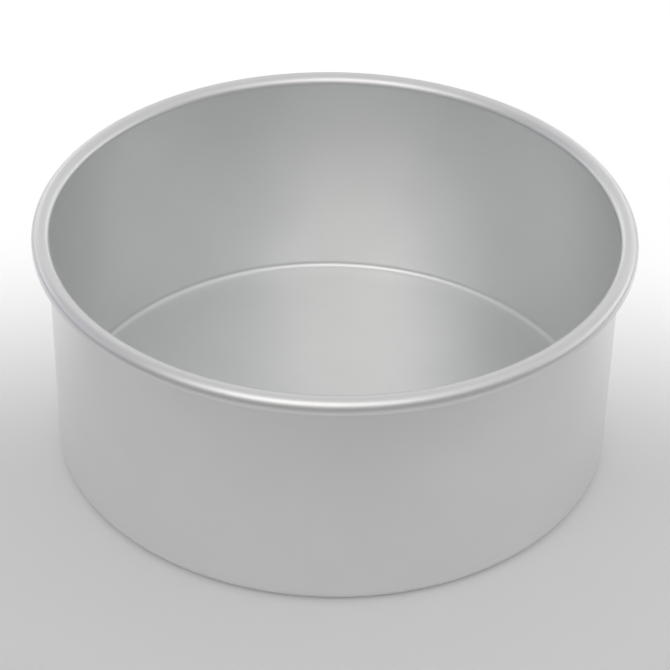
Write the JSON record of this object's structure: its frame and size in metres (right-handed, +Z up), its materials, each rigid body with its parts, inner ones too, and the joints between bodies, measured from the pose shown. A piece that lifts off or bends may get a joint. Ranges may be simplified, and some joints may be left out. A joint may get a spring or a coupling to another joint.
{
  "type": "cake tin",
  "caption": "Deep round cake tin of plain sheet metal with straight sides, a flat base with a small rounded corner, and a hollow rim rolled outwards.",
  "frame": {"origin": "centre of the underside of the base, on the surface that the tin stands on", "axes": "+Z up along the tin's axis of symmetry, out of its mouth; X and Y are alike, because the tin is a body of revolution"},
  "size_m": [0.244, 0.244, 0.1016],
  "materials": {
    "anodised_aluminium": "matt silver anodised, with a fine etched grain"
  },
  "bodies": {
    "root": {"tin_body": "anodised_aluminium"}
  },
  "joints": []
}
